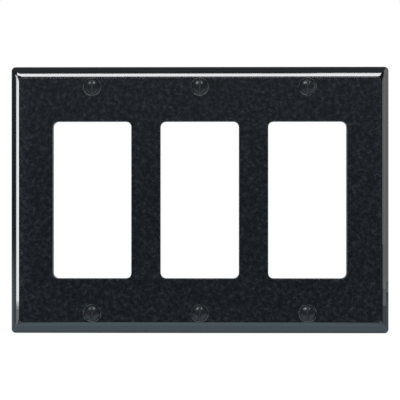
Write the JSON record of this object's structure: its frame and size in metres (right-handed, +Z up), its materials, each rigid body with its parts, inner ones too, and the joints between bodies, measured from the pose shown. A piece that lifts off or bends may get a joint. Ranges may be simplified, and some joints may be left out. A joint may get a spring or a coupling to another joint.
{
  "type": "wall plate cover",
  "caption": "Black wall plate cover with tall rectangular device openings side by side, a crowned bevel, a ribbed hollow back and slotted oval-head screws.",
  "frame": {"origin": "centre of the plate in the plane of its back rim, where it meets the wall", "axes": "+X along the plate's width, to the right as seen from the front; +Y out of the back, into the wall; +Z up; the front face looks along -Y"},
  "size_m": [0.1618, 0.0139, 0.1142],
  "materials": {
    "plate_black": "black moulded plastic, finely textured flat face and smooth glossy bevel",
    "screw_black": "steel screw, satin black paint on the head"
  },
  "bodies": {
    "plate": {"wall_plate": "plate_black"},
    "screw_top_left_body": {"screw_top_left": "screw_black"},
    "screw_top_centre_body": {"screw_top_centre": "screw_black"},
    "screw_top_right_body": {"screw_top_right": "screw_black"},
    "screw_bottom_left_body": {"screw_bottom_left": "screw_black"},
    "screw_bottom_centre_body": {"screw_bottom_centre": "screw_black"},
    "screw_bottom_right_body": {"screw_bottom_right": "screw_black"}
  },
  "joints": [
    {"name": "screw_top_left_backs_out", "type": "slide", "parent": "plate", "child": "screw_top_left_body", "axis": [0, -1, 0], "range_m": [0, 0.014]},
    {"name": "screw_top_centre_backs_out", "type": "slide", "parent": "plate", "child": "screw_top_centre_body", "axis": [0, -1, 0], "range_m": [0, 0.014]},
    {"name": "screw_top_right_backs_out", "type": "slide", "parent": "plate", "child": "screw_top_right_body", "axis": [0, -1, 0], "range_m": [0, 0.014]},
    {"name": "screw_bottom_left_backs_out", "type": "slide", "parent": "plate", "child": "screw_bottom_left_body", "axis": [0, -1, 0], "range_m": [0, 0.014]},
    {"name": "screw_bottom_centre_backs_out", "type": "slide", "parent": "plate", "child": "screw_bottom_centre_body", "axis": [0, -1, 0], "range_m": [0, 0.014]},
    {"name": "screw_bottom_right_backs_out", "type": "slide", "parent": "plate", "child": "screw_bottom_right_body", "axis": [0, -1, 0], "range_m": [0, 0.014]}
  ]
}
